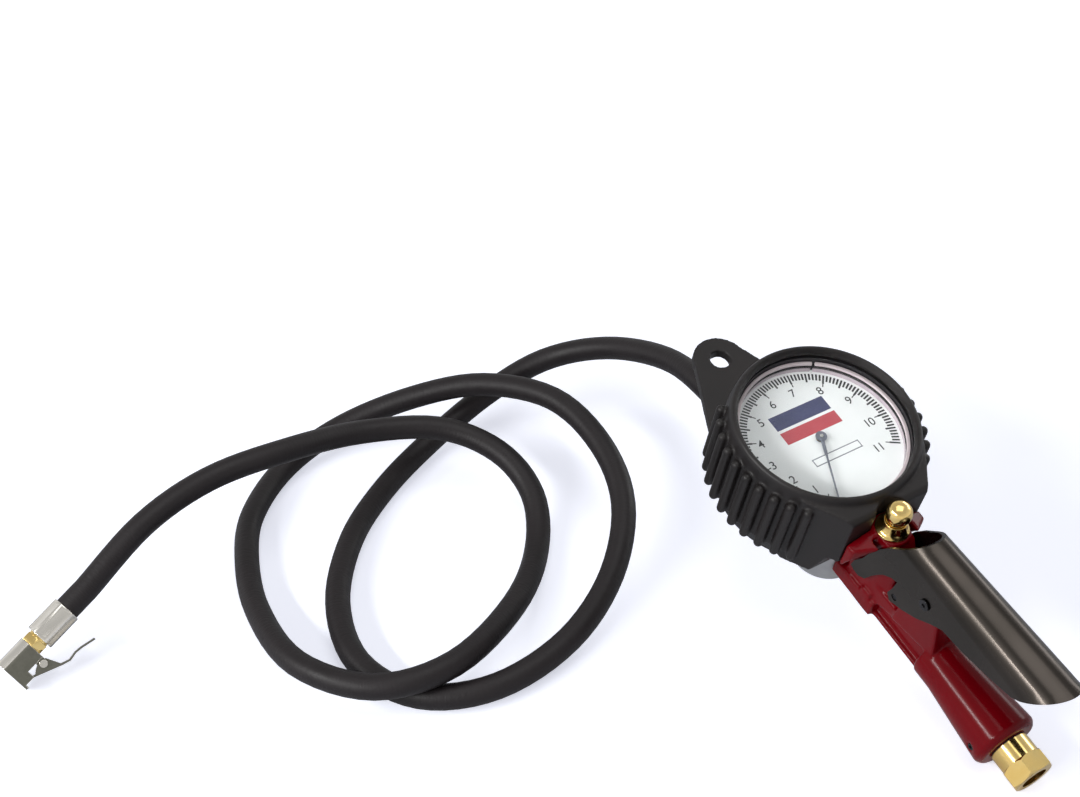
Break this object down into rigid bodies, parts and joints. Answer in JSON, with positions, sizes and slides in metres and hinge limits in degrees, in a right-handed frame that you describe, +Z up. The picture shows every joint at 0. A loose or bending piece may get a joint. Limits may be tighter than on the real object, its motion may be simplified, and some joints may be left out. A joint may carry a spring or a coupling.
{
  "type": "tyre inflator with gauge",
  "caption": "Hand-held tyre inflator: booted dial gauge on a squeeze handle with a lever, deflate button, female air inlet, and a rubber hose with a clip-on chuck.",
  "frame": {"origin": "centre of the footprint of the tool (without hose and chuck) on the surface it lies on", "axes": "+Z up; +Y from the air inlet toward the hanging eye; +X to the right of the dial; the tool leans back 17 degrees about X, as it rests"},
  "size_m": [0.3906, 0.3817, 0.116],
  "materials": {
    "casting_paint": "gloss",
    "lever_paint": "satin",
    "brass": "polished",
    "brass_dull": "satin",
    "steel": "satin",
    "spring_steel": "satin",
    "zinc": "satin",
    "nickel": "satin",
    "case_paint": "satin",
    "dial_white": "matte",
    "ring_white": "gloss",
    "pointer_grey": "satin",
    "lens_clear": "gloss",
    "boot_rubber": "satin",
    "hose_rubber": "satin",
    "seal_rubber": "matte"
  },
  "bodies": {
    "tool": {"body_casting": "casting_paint", "inlet_connector": "brass", "inlet_seal": "seal_rubber", "inlet_filter": "brass_dull", "retaining_screw": "steel", "lever_pivot": "steel", "pivot_clip": "spring_steel", "valve_gland": "brass_dull", "valve_spring": "spring_steel", "valve_cap": "brass_dull", "bleed_bush": "brass", "bleed_spring": "spring_steel", "mount_block": "zinc", "block_seal": "seal_rubber", "gauge_socket": "brass_dull", "gauge_case": "case_paint", "bourdon_tube": "brass_dull", "tube_tip": "brass_dull", "movement_frame": "brass_dull", "movement_screws": "steel", "hairspring": "spring_steel", "dial_plate": "dial_white", "dial_ring": "ring_white", "lens": "lens_clear", "lens_gasket": "seal_rubber", "snap_ring": "ring_white", "boot": "boot_rubber", "hose_nipple": "brass", "hose_ferrule": "nickel", "hose": "hose_rubber", "chuck_ferrule": "nickel", "chuck_nipple": "brass", "chuck_body": "nickel", "chuck_seal": "seal_rubber", "chuck_pin": "brass", "chuck_rivet": "steel", "chuck_spring": "spring_steel"},
    "lever": {"lever": "lever_paint", "push_pin": "steel"},
    "valve": {"valve_stem": "brass_dull", "valve_washer": "seal_rubber"},
    "deflate_button": {"bleed_button": "brass", "bleed_seal": "seal_rubber"},
    "sector": {"sector_gear": "brass_dull"},
    "spindle": {"pinion_spindle": "steel", "pointer": "pointer_grey"},
    "link": {"link": "brass_dull"},
    "chuck_clip": {"chuck_clip": "nickel"}
  },
  "joints": [
    {"name": "lever_squeeze", "type": "hinge", "parent": "tool", "child": "lever", "pos_m": [0, -0.04957, 0.0634], "axis": [1, 0, 0], "range_deg": [0, 10], "stiffness_Nm_per_rad": 1, "springref_deg": -17.19},
    {"name": "valve_slide", "type": "slide", "parent": "tool", "child": "valve", "axis": [0, 0.9563, 0.2924], "range_m": [0, 0.0028], "deforming": ["valve_spring"]},
    {"name": "button_press", "type": "slide", "parent": "tool", "child": "deflate_button", "axis": [0, 0.2924, -0.9563], "range_m": [0, 0.002], "stiffness_N_per_m": 800, "springref_m": -0.003, "deforming": ["bleed_spring"]},
    {"name": "sector_swing", "type": "hinge", "parent": "tool", "child": "sector", "pos_m": [0.011, 0.01976, 0.07383], "axis": [0, -0.2924, 0.9563], "range_deg": [0, 27.7], "stiffness_Nm_per_rad": 0.02, "springref_deg": -11.46},
    {"name": "pointer_sweep", "type": "hinge", "parent": "tool", "child": "spindle", "pos_m": [0, 0.03798, 0.0794], "axis": [0, -0.2924, 0.9563], "range_deg": [-277.1, 0], "deforming": ["hairspring"]},
    {"name": "link_swing", "type": "hinge", "parent": "sector", "child": "link", "pos_m": [0.01946, 0.01653, 0.07388], "axis": [0, -0.2924, 0.9563], "range_deg": [-28, 0]},
    {"name": "clip_squeeze", "type": "hinge", "parent": "tool", "child": "chuck_clip", "pos_m": [-0.32434, 0.18058, 0.01062], "axis": [-0.0821, -0.7364, 0.6716], "range_deg": [0, 18], "stiffness_Nm_per_rad": 0.3, "springref_deg": -11.46}
  ],
  "couplings": [
    {"joint": "valve_slide", "follows": "lever_squeeze", "m_per_rad": 0.0158},
    {"joint": "pointer_sweep", "follows": "sector_swing", "ratio": -10},
    {"joint": "link_swing", "follows": "sector_swing", "ratio": -1}
  ]
}
